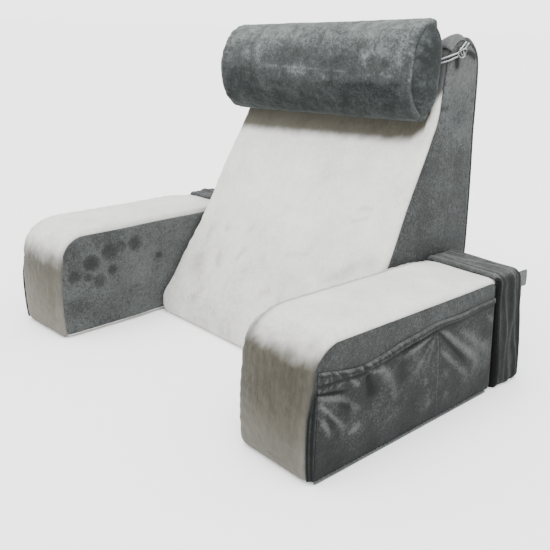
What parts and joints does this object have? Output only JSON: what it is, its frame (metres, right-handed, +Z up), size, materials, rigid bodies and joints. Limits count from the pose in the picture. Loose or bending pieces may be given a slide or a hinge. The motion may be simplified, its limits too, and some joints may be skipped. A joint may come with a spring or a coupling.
{
  "type": "reading pillow with arms",
  "caption": "Wedge backrest cushion with a padded arm on each side of the seat, side pockets on the arms and a half-round neck roll tied to its top.",
  "frame": {"origin": "middle of the backrest's flat underside", "axes": "+X to the viewer's right, along the neck roll; +Y from the seat towards the backrest's back; +Z up"},
  "size_m": [0.834, 0.6084, 0.6115],
  "materials": {
    "white_plush": "short off-white plush with fuzzy tufts, matt",
    "grey_velour": "crushed grey velour with a slightly green-blue sheen",
    "dark_velour": "dark grey velour, gathered and folded, with a soft sheen",
    "cord": "satin silver-grey cord"
  },
  "bodies": {
    "root": {"backrest": "white_plush", "arm_left": "white_plush", "arm_right": "white_plush", "backrest_panel_left": "grey_velour", "backrest_panel_right": "grey_velour", "backrest_panel_back": "grey_velour", "arm_left_panel_inner": "grey_velour", "arm_left_panel_outer": "grey_velour", "arm_right_panel_inner": "grey_velour", "arm_right_panel_outer": "grey_velour", "neck_roll": "grey_velour", "piping_left": "grey_velour", "piping_right": "grey_velour", "neck_roll_end_left": "dark_velour", "neck_roll_end_right": "dark_velour", "band_left": "dark_velour", "band_right": "dark_velour", "band_right_end": "dark_velour", "pocket_left": "dark_velour", "pocket_right": "dark_velour", "binding_left": "dark_velour", "binding_right": "dark_velour", "tie_left_roll_upper": "cord", "tie_left_roll_lower": "cord", "tie_left_top_front": "cord", "tie_left_top_rear": "cord", "tie_left_knot": "cord", "tie_right_roll_upper": "cord", "tie_right_roll_lower": "cord", "tie_right_top_front": "cord", "tie_right_top_rear": "cord", "tie_right_knot": "cord"}
  },
  "joints": []
}
